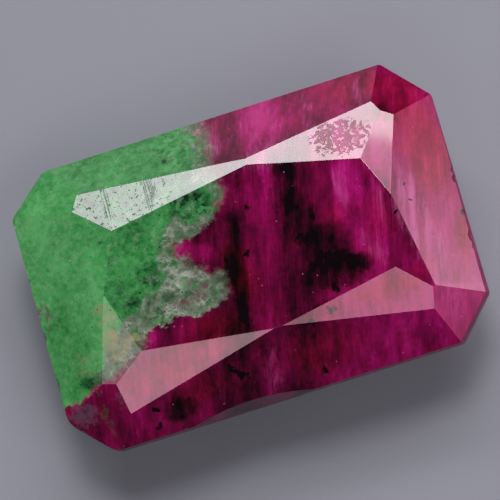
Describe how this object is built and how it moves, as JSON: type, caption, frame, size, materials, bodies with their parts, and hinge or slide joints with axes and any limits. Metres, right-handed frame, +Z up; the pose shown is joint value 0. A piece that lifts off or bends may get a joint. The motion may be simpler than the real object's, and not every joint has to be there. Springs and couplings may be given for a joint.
{
  "type": "cut ruby in zoisite gemstone",
  "caption": "Polished octagonal scissor-cut gemstone of magenta ruby grown together with green zoisite, standing table up on a flat back facet.",
  "frame": {"origin": "bottom centre of the stone's box, level with the flat back facet that it stands on", "axes": "+X along the length of the stone, from the green end to the ruby end; +Y across it; +Z up, out of the table"},
  "size_m": [0.0204, 0.0134, 0.0076],
  "materials": {
    "ruby_zoisite": "polished, opaque: deep magenta ruby with dark streaks, granular green zoisite at the left end"
  },
  "bodies": {
    "root": {"gemstone": "ruby_zoisite"}
  },
  "joints": []
}
